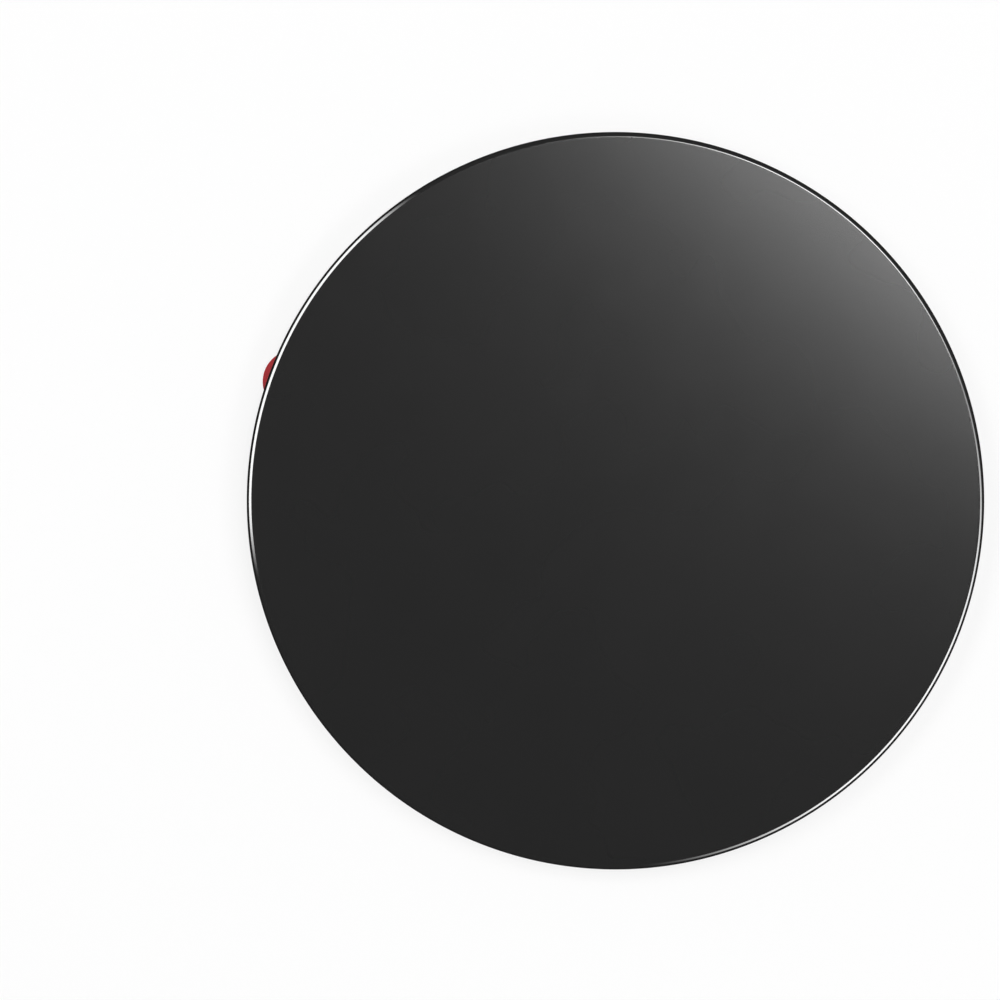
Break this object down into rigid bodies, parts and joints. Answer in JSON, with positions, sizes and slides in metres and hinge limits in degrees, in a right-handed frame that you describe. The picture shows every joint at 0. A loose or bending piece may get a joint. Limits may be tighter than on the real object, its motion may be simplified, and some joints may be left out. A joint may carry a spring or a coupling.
{
  "type": "dashboard mounting disc",
  "caption": "Thin round glossy black plastic disc on a foam adhesive pad with a red release liner and pull tab, stuck to a dashboard as a smooth base for a suction cup.",
  "frame": {"origin": "under the disc's centre, on the lower face of the release liner, which is what the part lies on", "axes": "+Z out of the glossy face; +X right and +Y up in the picture, with the pull tab 159.6 degrees counter-clockwise from +X"},
  "size_m": [0.08, 0.08, 0.0033],
  "materials": {
    "disc": "moulded black plastic, smooth and glossy, with a polished bevel round each face and a duller side wall",
    "pad": "black closed-cell foam adhesive, matte at its cut edge",
    "liner": "red plastic film, satin"
  },
  "bodies": {
    "root": {"mounting_disc": "disc", "adhesive_pad": "pad", "release_liner": "liner"}
  },
  "joints": []
}
